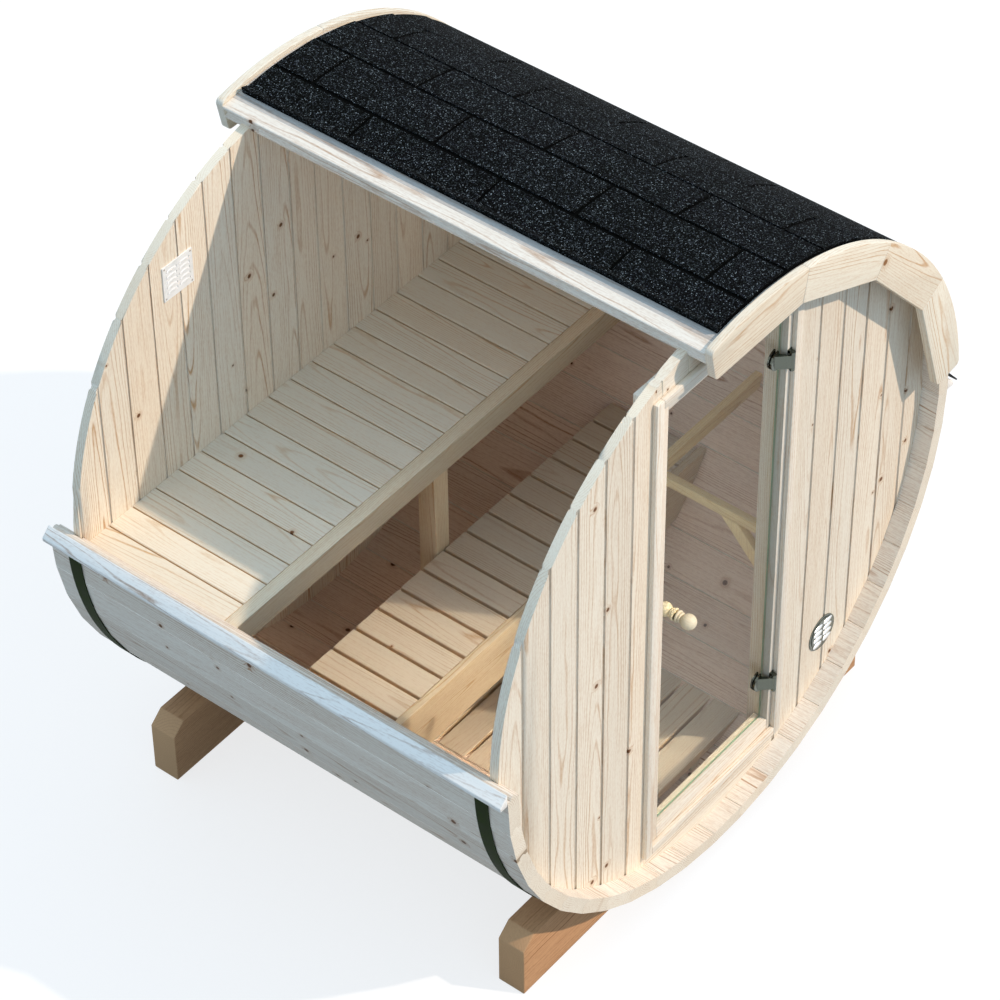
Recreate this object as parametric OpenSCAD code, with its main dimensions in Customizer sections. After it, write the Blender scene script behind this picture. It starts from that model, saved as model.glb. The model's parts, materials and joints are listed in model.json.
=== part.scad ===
// Barrel sauna with a round stave body, open at the upper left,
// a glass door, a bench across the back and a step in front of it.
// Millimetres. X runs across, Y along the barrel with the door at -Y,
// Z is up from the ground.

/* [Barrel] */
// Outer diameter over the corners of the staves
barrel_d = 2000; // [1800:10:2400]
// Length of the staves
barrel_l = 1600; // [1500:10:2400]
// Number of staves in a full round
stave_n = 46; // [40:2:56]
// Staves missing at the upper left, where the barrel is open
open_n = 10; // [8:1:12]
// Thickness of a stave
stave_t = 44; // [36:1:50]
// Radius of the bead along the edge of a stave
bead_r = 12; // [8:1:14]
// Gap between two staves, and between bead and cove
stave_gap = 0.4; // [0.2:0.1:1]
// Eased corners along the outer and inner edges of a stave
stave_ease = 2; // [0.5:0.5:4]
// Height of the barrel's lowest corner above the ground
ground_gap = 48; // [40:1:90]

/* [End walls] */
// Thickness of the wall boards
wall_t = 28; // [20:1:36]
// Depth of an end wall behind the ends of the staves
wall_in = 58; // [40:1:100]
// Depth of the groove that holds an end wall
croze_d = 12; // [8:1:16]
// Clearance round a wall in its groove
seat_gap = 0.3; // [0.1:0.1:1]
// Width of one wall board from groove to groove
board_w = 113.5; // [90:0.5:150]
// Distance of the first groove beside the door from the middle
board_x = 411; // [390:1:430]
// Distance of the back wall's first groove from the middle
back_x = 51; // [30:1:80]
// Width of the groove between two boards, at the face of the wall
vee_w = 16; // [10:1:20]
// Width of the groove's flat floor, the tongue between two boards
tongue_w = 6; // [3:1:8]
// Depth of the groove between two boards
vee_d = 5; // [3:0.5:7]

/* [Cradles] */
// Length of a cradle beam
cradle_l = 1600; // [1400:10:1900]
// Thickness of a cradle beam
cradle_t = 90; // [60:1:140]
// Height of a cradle beam
cradle_h = 217; // [190:1:260]
// Chamfer on the top ends, across
cradle_cx = 45; // [20:1:80]
// Chamfer on the top ends, down
cradle_cz = 39; // [20:1:80]
// Gap between a cradle and the band beside it
cradle_gap = 0.5; // [0.3:0.1:20]

/* [Bands] */
// Width of a steel band
band_w = 44; // [25:1:60]
// Thickness of a steel band
band_t = 2; // [1.5:0.5:4]
// Distance of a band's middle from the end of the staves
band_in = 88; // [60:1:110]
// Gap between a band's end and the batten above it
band_clear = 4; // [1:1:20]

/* [Roof] */
// Width of the bare stave beside the shingles, as an angle
bare_a = 4; // [2:0.5:6]
// Thickness of the shingle covering
shingle_t = 13; // [8:1:20]
// Inset of the shingles from the ends of the staves
shingle_in = 11; // [5:1:30]
// Angle covered by one fascia board
fascia_a = 24; // [20:1:30]
// Fascia boards that are left on each end
fascia_n = 4; // [3:1:4]
// Thickness of a fascia board
fascia_t = 25; // [18:1:32]
// Depth of a fascia board at its joints
fascia_d = 108; // [90:1:130]
// Gap at the joint of two fascia boards
fascia_gap = 1; // [0.5:0.5:3]
// Rounding of the corners at the free ends of the fascia
fascia_round = 15; // [5:1:30]
// Angle between the shingles' lower edge and the right batten
eave_a = 3.7; // [3:0.1:5]
// Depth of an eave batten, out from the barrel
batten_d = 30; // [20:1:45]
// Height of the batten's outer corner above the widest line
batten_up = 3; // [0:1:8]
// Height of the sloped face of an eave batten
batten_slope = 28; // [18:1:34]
// Height of the upright face of an eave batten
batten_edge = 13; // [8:1:20]
// Thickness of the drip edge
drip_t = 6; // [1:0.5:8]
// Reach of the drip edge past the batten
drip_lip = 21; // [10:1:30]
// Drop of the drip edge's lip below the batten's outer corner
drip_drop = 7; // [2:1:12]
// Height of the drip edge's upper leg
drip_leg = 14; // [8:1:18]

/* [Door] */
// Left side of the door opening, from the middle
door_left = 266; // [250:1:280]
// Right side of the door opening, from the middle
door_right = 258; // [250:1:280]
// Underside of the door head below the top of the room
head_in = 154; // [140:1:200]
// Top of the door sill above the bottom of the room
sill_in = 164; // [150:1:200]
// Depth of the door jambs and head
frame_d = 74; // [60:1:100]
// Depth of the door sill
sill_d = 48; // [40:1:70]
// Width of the frame at the latch side, head and sill
frame_w = 54; // [46:1:60]
// Width of the frame at the hinge side
hinge_w = 32; // [30:1:45]
// Width of the trim around the frame
trim_w = 30; // [24:1:32]
// Thickness of the trim
trim_t = 16; // [12:1:22]
// Part of the trim that lies on the wall
trim_lap = 15; // [12:1:18]
// Clearance between frame, wall and trim pieces
joint_gap = 0.4; // [0.2:0.1:1]
// Thickness of the glass
glass_t = 8; // [6:1:10]
// Depth of the glass behind the front of the frame
glass_in = 20; // [16:1:30]
// Gap round the glass
glass_gap = 6; // [5:0.5:8]
// Gap at the latch edge of the glass
latch_gap = 9; // [8:0.5:12]

/* [Hinges] */
// Upper hinge below the top edge of the glass
hinge_in_top = 192; // [100:1:300]
// Lower hinge above the bottom edge of the glass
hinge_in_low = 156; // [100:1:300]
// Height of a hinge
hinge_h = 64; // [50:1:70]
// Thickness of the half-round plates on the glass
leaf_t = 5; // [4:0.5:8]
// Distance of the plates' straight side from the glass edge
leaf_in = 11; // [8:1:20]
// Width of the arm where it stands on the plate
arm_w = 17; // [12:1:22]
// Pin of the hinge in front of the frame
pin_out = 15; // [14:1:18]
// Pin of the hinge outside the door opening
pin_side = 4; // [2:1:6]
// Radius of the hinge pin
pin_r = 3.5; // [2.5:0.5:4]
// Wall of the hinge knuckle round the pin
knuckle_wall = 3.9; // [3:0.1:4.5]
// Clearance of the knuckle on its pin
pin_gap = 0.1; // [0.05:0.05:0.2]
// Clearance of the knuckle between the prongs
end_gap = 0.6; // [0.4:0.1:1]
// Thickness of a bracket prong
prong_t = 9; // [6:1:12]
// Thickness of the bracket plate on the frame
bracket_t = 3; // [2:0.5:4]

/* [Knob] */
// Distance of the knob from the latch edge of the opening
knob_in = 94; // [60:1:120]
// Height of the knob below the barrel's axis
knob_z = 30; // [0:1:100]
// Diameter of the outer ball
ball_d = 46; // [36:1:56]
// Diameter of the inner ball
ball_in_d = 42; // [30:1:46]
// Diameter of the turned rings
ring_d = 38; // [28:1:44]
// Thickness of one turned ring
ring_t = 8; // [6:0.5:10]
// Step in radius from one ring to the next
ring_step = 3; // [2:0.5:5]
// Radius of the wooden stem that passes through the glass
stem_r = 6; // [4:0.5:8]

/* [Bench] */
// Height of the bench above the step
seat_h = 470; // [400:1:500]
// Pitch of the bench slats
bench_pitch = 95.3; // [90:0.1:110]
// Gap between two bench slats
bench_gap = 5; // [3:0.5:10]
// Thickness of all slats
slat_t = 28; // [20:1:34]
// Eased corners along the top edges of all slats
slat_ease = 2; // [1:0.5:5]
// Depth of the bench from the back wall, apron included
bench_d = 536; // [440:1:560]
// Thickness of the bench apron
apron_t = 44; // [30:1:50]
// Height of the bench apron
apron_h = 83; // [70:1:120]
// Width and depth of the wall ledger under the bench
ledger_w = 45; // [35:1:60]
// Width and depth of the bench leg
leg_w = 62; // [45:1:80]
// Distance of the leg behind the apron
leg_back = 18; // [10:1:60]

/* [Step] */
// Height of the step above the floor
step_h = 400; // [340:1:440]
// Pitch of the step slats
step_pitch = 100.3; // [96:0.1:110]
// Gap between two step slats
step_gap = 10; // [6:0.5:12]
// Back of the step in front of the leg
step_back = 5; // [2:1:20]
// Length of the step slats
step_l = 318; // [280:1:340]
// Thickness of the step's front board
step_board_t = 25; // [18:1:30]
// Height of the step's front board
step_board_h = 180; // [150:1:220]
// Height of the bearer at the back of the step
bearer_h = 70; // [50:1:90]

/* [Floor] */
// Height of the floor above the bottom of the room
floor_h = 54; // [48:1:80]
// Pitch of the floor slats
floor_pitch = 104.5; // [100:0.5:110]
// Gap between two floor slats
floor_gap = 10; // [6:0.5:12]
// Least distance between the last floor slat and the bench leg
floor_clear = 60; // [20:1:100]
// First floor slat behind the front wall
floor_in = 107; // [90:1:120]
// Width of a bearer under the floor slats
floor_bearer_w = 40; // [30:1:60]
// Distance of a bearer from the middle
floor_bearer_x = 100; // [60:1:110]

/* [Guard rail] */
// Top of the guard rails above the floor
guard_h = 680; // [600:1:760]
// Thickness of the guard rails
guard_t = 26; // [20:1:35]
// Height of the cross rail
cross_h = 47; // [40:1:60]
// Height of the side rail
side_h = 34; // [28:1:40]
// Inner face of the side rail from the middle
guard_x = 400; // [360:1:440]
// Back face of the cross rail from the front wall
guard_l = 524; // [480:1:540]
// Length of the brace along the side rail
brace_run = 262; // [200:1:290]
// Drop of the brace along the wall
brace_drop = 287; // [220:1:320]
// Width of the brace's foot on the wall
brace_foot = 67; // [50:1:80]
// Width of the brace's top on the rail
brace_top = 58; // [45:1:70]

/* [Vents] */
// Diameter of the round vent in the front wall
vent_d = 121; // [100:1:140]
// Middle of the round vent from the edge of the wall
vent_in = 146; // [120:1:200]
// Place of the round vent round the wall, from the top to the right
vent_a = 141; // [120:1:150]
// Thickness of the round vent
vent_t = 5; // [4:0.5:8]
// Rim of both vents
vent_rim = 8; // [5:0.5:12]
// Height of a louvre slot
louvre_h = 8; // [5:0.5:12]
// Side of the square vent on the back wall
grille_w = 117; // [90:1:140]
// Middle of the square vent from the edge of the wall
grille_in = 142; // [120:1:200]
// Place of the square vent round the wall, from the top to the left
grille_a = 38.5; // [30:0.5:50]
// Thickness of the square vent
grille_t = 4; // [3:1:10]

/* [Hidden] */
$fn = 64;
// Steps of the large rounds
round_fn = 360;

// Round body
barrel_r = barrel_d / 2;
axis_z = ground_gap + barrel_r;
half_l = barrel_l / 2;
pitch_a = 360 / stave_n;
half_a = pitch_a / 2;
face_r = barrel_r * cos(half_a);
room_r = face_r - stave_t;
kept_n = stave_n - open_n;
first_k = -1;
cut_a = (first_k - 0.5) * pitch_a;
left_a = cut_a + kept_n * pitch_a;
right_a = 360 - left_a;
fit_r = room_r - seat_gap;

// End walls
wall_r = room_r + croze_d;
wall_out = half_l - wall_in;
wall_face = wall_out - wall_t;

// Heights from the barrel's axis, down for floor, step, bench and guard
floor_z = room_r - floor_h;
step_z = floor_z - step_h;
bench_z = step_z - seat_h;
guard_z = floor_z - guard_h;
door_top = room_r - head_in;
door_low = room_r - sill_in;

// Band and cradle beside it
band_y = half_l - band_in;
cradle_y = band_y - (band_w + cradle_t) / 2 - cradle_gap;

// Door frame, from the wall's outer face
frame_y = -wall_out;
trim_y = frame_y - trim_t;
hole_left = door_left + frame_w;
hole_right = door_right + hinge_w;
hole_top = door_top + frame_w;
hole_low = door_low + frame_w;
trim_in_left = hole_left - trim_w + trim_lap;
trim_in_right = hole_right - trim_w + trim_lap;
trim_in_top = hole_top - trim_w + trim_lap;
trim_in_low = hole_low - trim_w + trim_lap;
glass_y = frame_y + glass_in;
glass_left = door_left - latch_gap;
glass_right = door_right - glass_gap;
glass_top = door_top - glass_gap;
glass_low = door_low - glass_gap;

// Hinge pin and knob
knuckle_r = pin_r + pin_gap + knuckle_wall;
knuckle_h = hinge_h - 2 * (prong_t + end_gap);
pin_x = door_right + pin_side;
pin_y = frame_y - pin_out;
hinge_top = glass_top - hinge_in_top;
hinge_low = glass_low - hinge_in_low;
knob_x = -door_left + knob_in;

// Roof
roof_a0 = cut_a + bare_a;
roof_a1 = right_a - eave_a;
roof_r = barrel_r + shingle_t;
fascia_r = roof_r - fascia_d;
band_end_a = asin((batten_edge - batten_up + band_clear) / barrel_r);

// Bench and step
bench_front = wall_face - bench_d;
leg_y = bench_front + apron_t + leg_back;
step_y1 = leg_y - step_back;
step_y0 = step_y1 - step_l;

// Floor
floor_y = -wall_face + floor_in;
floor_n = floor((leg_y - floor_clear - floor_y + floor_gap) / floor_pitch);
floor_l = floor_n * floor_pitch - floor_gap;

// Turns a shape drawn at the top of the barrel to its place on the round
module round_at(a) {
    translate([0, 0, axis_z])
        rotate([0, a, 0])
            children();
}

// Extrudes a drawing of the cross-section along the barrel
module along(y0, y1) {
    translate([0, y1, axis_z])
        rotate([90, 0, 0])
            linear_extrude(height = y1 - y0)
                children();
}

// Cylinder on the barrel's axis
module drum(r, y0, y1) {
    translate([0, y1, axis_z])
        rotate([90, 0, 0])
            cylinder(r = r, h = y1 - y0, $fn = round_fn);
}

// Box from its limits, with heights taken from the barrel's axis
module box(x0, x1, y0, y1, z0, z1) {
    translate([x0, y0, axis_z + z0])
        cube([x1 - x0, y1 - y0, z1 - z0]);
}

// Cross-section of one stave, bead on one edge and cove on the other
module stave_profile() {
    joint_r = (face_r - stave_t / 2) / cos(half_a);
    slack = stave_gap / 2 / cos(half_a);
    outer_x = face_r * tan(half_a) - slack;
    inner_x = room_r * tan(half_a) - slack;
    lean = stave_ease * tan(half_a);
    mid = [joint_r * sin(half_a), joint_r * cos(half_a)];
    difference() {
        union() {
            polygon([[-outer_x + lean, face_r - stave_ease], [-outer_x + stave_ease, face_r],
                [outer_x - stave_ease, face_r], [outer_x - lean, face_r - stave_ease],
                [inner_x + lean, room_r + stave_ease], [inner_x - stave_ease, room_r],
                [-inner_x + stave_ease, room_r], [-inner_x - lean, room_r + stave_ease]]);
            translate(mid)
                circle(r = bead_r);
        }
        translate([-mid[0], mid[1]])
            circle(r = bead_r + stave_gap);
    }
}

// One of the six groups of staves, with the grooves for the end walls
module stave_group(g) {
    k0 = round(g * kept_n / 6);
    k1 = round((g + 1) * kept_n / 6) - 1;
    color("#ead9b9")
        difference() {
            for (k = [k0 : k1])
                round_at((first_k + k) * pitch_a)
                    rotate([90, 0, 0])
                        linear_extrude(height = barrel_l, center = true)
                            stave_profile();
            drum(wall_r + seat_gap, wall_face - seat_gap, wall_out + seat_gap);
            drum(wall_r + seat_gap, -wall_out - seat_gap, -wall_face + seat_gap);
        }
}

module staves_crown() {
    stave_group(0);
}

module staves_right_upper() {
    stave_group(1);
}

module staves_right_lower() {
    stave_group(2);
}

module staves_bottom_right() {
    stave_group(3);
}

module staves_bottom_left() {
    stave_group(4);
}

module staves_left() {
    stave_group(5);
}

// Beam under the barrel, hollowed to its round
module cradle(y) {
    color("#b98a57")
        difference() {
            translate([0, y + cradle_t / 2, 0])
                rotate([90, 0, 0])
                    linear_extrude(height = cradle_t)
                        polygon([[-cradle_l / 2, 0], [cradle_l / 2, 0],
                            [cradle_l / 2, cradle_h - cradle_cz],
                            [cradle_l / 2 - cradle_cx, cradle_h],
                            [-cradle_l / 2 + cradle_cx, cradle_h],
                            [-cradle_l / 2, cradle_h - cradle_cz]]);
            drum(barrel_r + seat_gap, y - cradle_t, y + cradle_t);
        }
}

module cradle_front() {
    cradle(-cradle_y);
}

module cradle_back() {
    cradle(cradle_y);
}

// Steel band round the lower half, from batten to batten
module band(y) {
    sweep = left_a - right_a - 2 * band_end_a;
    color("#2b3029")
        round_at(right_a + band_end_a)
            rotate([-90, 0, 0])
                translate([0, 0, y - band_w / 2])
                    rotate([0, 0, -90])
                        rotate_extrude(angle = sweep, $fn = round_fn)
                            translate([barrel_r + seat_gap, 0])
                                square([band_t, band_w]);
}

module band_front() {
    band(-band_y);
}

module band_back() {
    band(band_y);
}

// Grooves with sloped sides between the boards of an end wall, on the face at y,
// one of them at the distance first from the middle on each side
module vees(y, first) {
    far_n = floor((wall_r - first) / board_w);
    near_n = floor(first / board_w);
    for (s = [-1, 1])
        for (i = [-near_n : far_n])
            translate([s * (first + i * board_w), y, axis_z - wall_r])
                linear_extrude(height = 2 * wall_r)
                    polygon([[-vee_w / 2, 0], [-tongue_w / 2, -vee_d], [tongue_w / 2, -vee_d],
                        [vee_w / 2, 0], [tongue_w / 2, vee_d], [-tongue_w / 2, vee_d]]);
}

module back_wall() {
    color("#e6d3b0")
        difference() {
            drum(wall_r, wall_face, wall_out);
            vees(wall_face, back_x);
            vees(wall_out, back_x);
        }
}

// Round front wall cut to the limits of one piece, of upright boards where it is grooved
module front_piece(x0, x1, z0, z1, grooved = true) {
    color("#ecdcbd")
        difference() {
            intersection() {
                drum(wall_r, -wall_out, -wall_face);
                box(x0, x1, -wall_out, -wall_face, z0, z1);
            }
            if (grooved) {
                vees(-wall_out, board_x);
                vees(-wall_face, board_x);
            }
        }
}

module front_wall_left() {
    front_piece(-wall_r, -hole_left, -wall_r, wall_r);
}

module front_wall_right() {
    front_piece(hole_right, wall_r, -wall_r, wall_r);
}

module front_wall_over_door() {
    front_piece(-hole_left + joint_gap, hole_right - joint_gap, hole_top, wall_r);
}

// One plain board on its edge
module front_wall_under_door() {
    front_piece(-hole_left + joint_gap, hole_right - joint_gap, -wall_r, -hole_low, false);
}

module door_jamb_left() {
    color("#e8d6b4")
        box(-hole_left + joint_gap, -door_left, frame_y, frame_y + frame_d,
            -hole_low + joint_gap, hole_top - joint_gap);
}

module door_jamb_right() {
    color("#e8d6b4")
        box(door_right, hole_right - joint_gap, frame_y, frame_y + frame_d,
            -hole_low + joint_gap, hole_top - joint_gap);
}

module door_head() {
    color("#e8d6b4")
        box(-door_left + joint_gap, door_right - joint_gap, frame_y, frame_y + frame_d,
            door_top, hole_top - joint_gap);
}

module door_sill() {
    color("#e8d6b4")
        box(-door_left + joint_gap, door_right - joint_gap, frame_y, frame_y + sill_d,
            -hole_low + joint_gap, -door_low);
}

// Four trim boards over the joint of frame and wall
module door_trim() {
    y1 = frame_y - seat_gap;
    color("#efe0c4") {
        box(-trim_in_left - trim_w, -trim_in_left, trim_y, y1,
            -trim_in_low - trim_w, trim_in_top + trim_w);
        box(trim_in_right, trim_in_right + trim_w, trim_y, y1,
            -trim_in_low - trim_w, trim_in_top + trim_w);
        box(-trim_in_left + joint_gap, trim_in_right - joint_gap, trim_y, y1,
            trim_in_top, trim_in_top + trim_w);
        box(-trim_in_left + joint_gap, trim_in_right - joint_gap, trim_y, y1,
            -trim_in_low - trim_w, -trim_in_low);
    }
}

module door_glass() {
    color("#c9d6d2", 0.4)
        difference() {
            box(-glass_left, glass_right, glass_y, glass_y + glass_t,
                -glass_low, glass_top);
            translate([knob_x, glass_y - 1, axis_z - knob_z])
                rotate([-90, 0, 0])
                    cylinder(r = stem_r + end_gap, h = glass_t + 2);
        }
}

// Turned double knob, one ball on each side of the glass
module door_knob() {
    color("#e9d3a6")
        translate([knob_x, glass_y + glass_t / 2, axis_z - knob_z])
            rotate([90, 0, 0]) {
                cylinder(r = stem_r, h = glass_t + 2, center = true);
                translate([0, 0, glass_t / 2])
                    turned_side(ball_d);
                rotate([180, 0, 0])
                    translate([0, 0, glass_t / 2])
                        turned_side(ball_in_d);
            }
}

// One side of the knob as a turned profile: two rings and a ball
module turned_side(d) {
    bead = ring_t / 2;
    rotate_extrude() {
        for (i = [0, 1])
            translate([ring_d / 2 - bead - i * ring_step, bead + i * ring_t])
                intersection() {
                    circle(r = bead);
                    translate([0, -bead])
                        square([bead, ring_t]);
                }
        square([ring_d / 2 - bead, ring_t]);
        square([ring_d / 2 - bead - ring_step, 2 * ring_t]);
        square([ring_d / 2 - bead - 2 * ring_step, 2 * ring_t + ring_step]);
        translate([0, 2 * ring_t + (d - ring_step) / 2])
            intersection() {
                circle(d = d);
                translate([0, -d / 2])
                    square([d / 2, d]);
            }
    }
}

// Moving half of a hinge: knuckle, arm and two half-round plates on the glass
module hinge_leaf(z) {
    flat_x = glass_right - leaf_in;
    front_y = glass_y - leaf_t;
    half_disc(flat_x, front_y, z);
    half_disc(flat_x, glass_y + glass_t, z);
    difference() {
        union() {
            translate([pin_x, pin_y, axis_z + z])
                cylinder(r = knuckle_r, h = knuckle_h, center = true);
            translate([0, 0, axis_z + z - knuckle_h / 2])
                linear_extrude(height = knuckle_h)
                    polygon([[flat_x - arm_w, glass_y], [flat_x, glass_y], [flat_x, front_y],
                        [pin_x - 0.8 * knuckle_r, pin_y + 0.4 * knuckle_r],
                        [pin_x - 0.8 * knuckle_r, pin_y - 0.4 * knuckle_r],
                        [flat_x - arm_w, front_y]]);
        }
        translate([pin_x, pin_y, axis_z + z])
            cylinder(r = pin_r + pin_gap, h = hinge_h, center = true);
    }
}

// Half-round clamp plate with its round end away from the pin
module half_disc(x, y, z) {
    r = hinge_h / 2;
    intersection() {
        translate([x, y, axis_z + z])
            rotate([-90, 0, 0])
                cylinder(r = r, h = leaf_t);
        box(x - r, x, y, y + leaf_t, z - r, z + r);
    }
}

module hinge_leaves() {
    color("#3a3d3e") {
        hinge_leaf(hinge_top);
        hinge_leaf(-hinge_low);
    }
}

// Fixed half of a hinge: plate on the frame, two prongs and the pin
module hinge_bracket(z) {
    plate_y = frame_y - joint_gap;
    box(door_right, trim_in_right - joint_gap, plate_y - bracket_t, plate_y,
        z - hinge_h / 2, z + hinge_h / 2);
    for (s = [-1, 1])
        prong(z + s * (hinge_h - prong_t) / 2, plate_y);
    translate([pin_x, pin_y, axis_z + z])
        cylinder(r = pin_r, h = hinge_h, center = true);
}

// Prong that holds one end of the pin
module prong(z, plate_y) {
    translate([pin_x, pin_y, axis_z + z])
        cylinder(r = knuckle_r, h = prong_t, center = true);
    box(door_right, pin_x + knuckle_r, pin_y, plate_y,
        z - prong_t / 2, z + prong_t / 2);
}

module hinge_brackets() {
    color("#4a4d4e") {
        hinge_bracket(hinge_top);
        hinge_bracket(-hinge_low);
    }
}

// Cross-section of one slat of width w, with its top edges eased
module slat_profile(w) {
    polygon([[0, -slat_t], [w, -slat_t], [w, -slat_ease], [w - slat_ease, 0],
        [slat_ease, 0], [0, -slat_ease]]);
}

// Boards side by side across the barrel, trimmed to its round
module slats_across(pitch, gap, half_n, y0, y1, z) {
    intersection() {
        for (i = [-half_n : half_n - 1])
            along(y0, y1)
                translate([i * pitch + gap / 2, z])
                    slat_profile(pitch - gap);
        drum(fit_r, y0 - 1, y1 + 1);
    }
}

// Board across the barrel with its ends cut to the round
module cross_board(y0, y1, z0, z1) {
    intersection() {
        box(-barrel_r, barrel_r, y0, y1, z0, z1);
        drum(fit_r, y0 - 1, y1 + 1);
    }
}

// Half the chord of the room at a height from the axis
function chord(z) = sqrt(fit_r * fit_r - z * z);

module bench_slats() {
    color("#dccaa6")
        slats_across(bench_pitch, bench_gap, round(chord(bench_z) / bench_pitch),
            bench_front + apron_t + joint_gap, wall_face - joint_gap, -bench_z);
}

module bench_apron() {
    color("#dccaa6")
        cross_board(bench_front, bench_front + apron_t, -bench_z - apron_h, -bench_z);
}

module bench_ledger() {
    z1 = -bench_z - slat_t - joint_gap;
    color("#d2bd95")
        cross_board(wall_face - ledger_w, wall_face - joint_gap, z1 - ledger_w, z1);
}

module bench_leg() {
    color("#d8c49c")
        intersection() {
            box(-leg_w / 2, leg_w / 2, leg_y, leg_y + leg_w,
                -room_r, -bench_z - slat_t - joint_gap);
            drum(fit_r, leg_y - 1, leg_y + leg_w + 1);
        }
}

module step_slats() {
    color("#d3bd96")
        slats_across(step_pitch, step_gap, round(chord(step_z) / step_pitch),
            step_y0, step_y1, -step_z);
}

module step_front_board() {
    y1 = step_y0 - joint_gap;
    color("#cdb58c")
        cross_board(y1 - step_board_t, y1, -step_z - step_board_h, -step_z);
}

module step_bearer() {
    z1 = -step_z - slat_t - joint_gap;
    color("#cdb58c")
        cross_board(step_y1 - ledger_w, step_y1, z1 - bearer_h, z1);
}

// Floor slats lie across and end on the staves
module floor_slats() {
    color("#d3bd96")
        intersection() {
            for (i = [0 : floor_n - 1])
                translate([-barrel_r, floor_y + i * floor_pitch, axis_z - floor_z])
                    rotate([90, 0, 90])
                        linear_extrude(height = barrel_d)
                            slat_profile(floor_pitch - floor_gap);
            drum(fit_r, -half_l, half_l);
        }
}

module floor_bearers() {
    z1 = -floor_z - slat_t - joint_gap;
    color("#c8b087")
        for (s = [-1, 1])
            intersection() {
                box(s * floor_bearer_x - floor_bearer_w / 2,
                    s * floor_bearer_x + floor_bearer_w / 2,
                    floor_y, floor_y + floor_l, -room_r, z1);
                drum(fit_r, -half_l, half_l);
            }
}

// Side rail of the guard, from the front wall to the cross rail
module guard_side_rail() {
    color("#c6ac80")
        box(guard_x, guard_x + guard_t, -wall_face + joint_gap,
            -wall_face + guard_l - guard_t - joint_gap, -guard_z - side_h, -guard_z);
}

// Cross rail from the side rail's end to the staves
module guard_cross_rail() {
    y1 = -wall_face + guard_l;
    color("#b79b6e")
        intersection() {
            box(guard_x, barrel_r, y1 - guard_t, y1, -guard_z - cross_h, -guard_z);
            drum(fit_r, y1 - guard_t - 1, y1 + 1);
        }
}

// Slanted brace between the side rail and the front wall
module guard_brace() {
    y0 = -wall_face + joint_gap;
    z1 = -guard_z - side_h - joint_gap;
    color("#c6ac80")
        translate([guard_x, 0, axis_z])
            rotate([90, 0, 90])
                linear_extrude(height = guard_t)
                    polygon([[y0, z1 - brace_drop], [y0, z1 - brace_drop + brace_foot],
                        [y0 + brace_run - brace_top, z1], [y0 + brace_run, z1]]);
}

// One fascia board: arc outside, straight inside, rounded where it ends free
module fascia_board(i) {
    a0 = cut_a + i * fascia_a;
    a1 = a0 + fascia_a;
    g = fascia_gap / 2;
    far = 2 * barrel_r;
    difference() {
        intersection() {
            circle(r = roof_r, $fn = round_fn);
            polygon([
                [fascia_r * sin(a0) + g * cos(a0), fascia_r * cos(a0) - g * sin(a0)],
                [far * sin(a0) + g * cos(a0), far * cos(a0) - g * sin(a0)],
                [far * sin(a1) - g * cos(a1), far * cos(a1) + g * sin(a1)],
                [fascia_r * sin(a1) - g * cos(a1), fascia_r * cos(a1) + g * sin(a1)]]);
        }
        if (i == 0)
            rotate(-a0)
                fascia_corners(g);
        if (i == fascia_n - 1)
            rotate(-a1)
                mirror([1, 0])
                    fascia_corners(g);
    }
}

// What is cut from the two corners of a free end, drawn with the end upright at x = g
module fascia_corners(g) {
    r = fascia_round;
    slope = fascia_a / 2;
    inner = [g + r, fascia_r - (g + r) * tan(slope) + r / cos(slope)];
    touch = inner - r * [sin(slope), cos(slope)];
    past = touch - 2 * r * [sin(slope), cos(slope)];
    difference() {
        translate([-r, roof_r - r])
            square([g + 2 * r, 2 * r]);
        translate([g + r, roof_r - r])
            circle(r = r);
    }
    difference() {
        polygon([inner, [-r, inner[1]], [-r, past[1]], past, touch]);
        translate(inner)
            circle(r = r);
    }
}

module fascia_front() {
    color("#f0e2c8")
        for (i = [0 : fascia_n - 1])
            along(-half_l - fascia_t, -half_l - seat_gap)
                fascia_board(i);
}

module fascia_back() {
    color("#f0e2c8")
        for (i = [0 : fascia_n - 1])
            along(half_l + seat_gap, half_l + fascia_t)
                fascia_board(i);
}

// Bent covering of shingles on the staves, down to the eave
module roof_shingles() {
    color("#232527")
        round_at(roof_a0)
            rotate([-90, 0, 0])
                translate([0, 0, -half_l + shingle_in])
                    rotate([0, 0, -90])
                        rotate_extrude(angle = roof_a1 - roof_a0, $fn = round_fn)
                            translate([barrel_r + seat_gap, 0])
                                square([shingle_t - seat_gap, barrel_l - 2 * shingle_in]);
}

// Bevelled batten along the widest line of the barrel, drawn for the right side
module batten_profile() {
    polygon([[barrel_r + seat_gap, batten_up - batten_edge],
        [barrel_r + batten_d, batten_up - batten_edge],
        [barrel_r + batten_d, batten_up],
        [barrel_r + seat_gap, batten_up + batten_slope]]);
}

module eave_batten_right() {
    color("#efe1c6")
        round_at(right_a - 90)
            rotate([90, 0, 0])
                linear_extrude(height = barrel_l, center = true)
                    batten_profile();
}

module eave_batten_left() {
    color("#f3e8d2")
        mirror([1, 0, 0])
            eave_batten_right();
}

// Bent metal drip edge from the shingles over the right batten
module eave_drip() {
    mid_a = right_a - half_a;
    out = [sin(mid_a), cos(mid_a)];
    down = [cos(mid_a), -sin(mid_a)];
    top = (face_r + seat_gap) * out + (face_r * tan(roof_a1 - mid_a) + seat_gap) * down;
    fold = top + drip_leg * down;
    lip = [barrel_r + batten_d + drip_lip, batten_up - drip_drop];
    color("#15181a")
        along(-half_l, half_l)
            polygon([top, fold, lip - [drip_t, 0], lip,
                fold + drip_t * [1, 0.4], top + drip_t * out]);
}

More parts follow.
